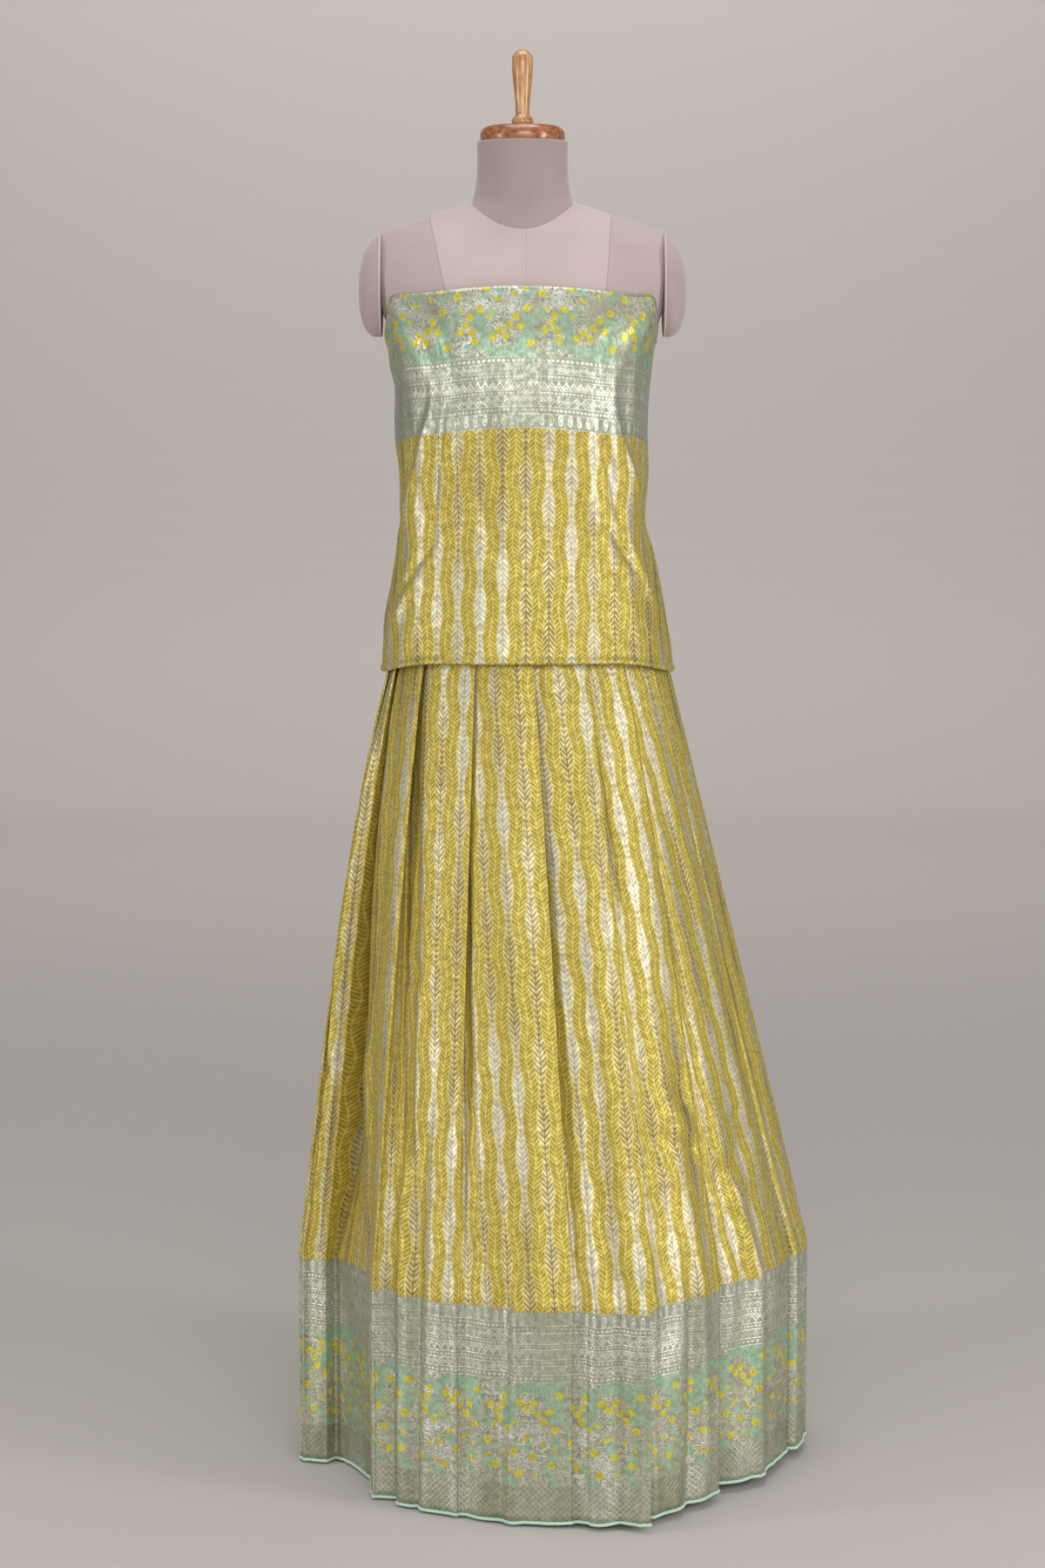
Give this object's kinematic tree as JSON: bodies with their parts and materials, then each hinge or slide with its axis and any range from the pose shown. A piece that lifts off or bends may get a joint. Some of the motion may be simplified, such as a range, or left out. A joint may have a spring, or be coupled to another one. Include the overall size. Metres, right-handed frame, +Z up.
{
  "type": "lehenga on a limbless dress form",
  "caption": "Floor-length knife-pleated brocade skirt with a woven hem border and a wrapped bust cloth, worn on a padded dress form with a turned wooden finial.",
  "frame": {"origin": "centre of the stand base's flat underside, on the floor under the pole's axis", "axes": "+Z up the pole, -Y the way the garment faces, +X the wearer's left"},
  "size_m": [0.6528, 0.6328, 1.771],
  "materials": {
    "brocade": "woven brocade with a low metallic sheen",
    "piping": "plain satin piping",
    "form_cover": "suede-like nap",
    "turned_wood": "varnished",
    "stand_steel": "satin black"
  },
  "bodies": {
    "root": {"skirt_front": "brocade", "skirt_back": "brocade", "hem_piping_front": "piping", "hem_piping_back": "piping", "waistband": "brocade", "bust_wrap": "brocade", "form_torso": "form_cover", "shoulder_cap_left": "form_cover", "shoulder_cap_right": "form_cover", "neck_cap": "turned_wood", "finial": "turned_wood", "stand_base": "stand_steel", "stand_pole": "stand_steel"}
  },
  "joints": []
}
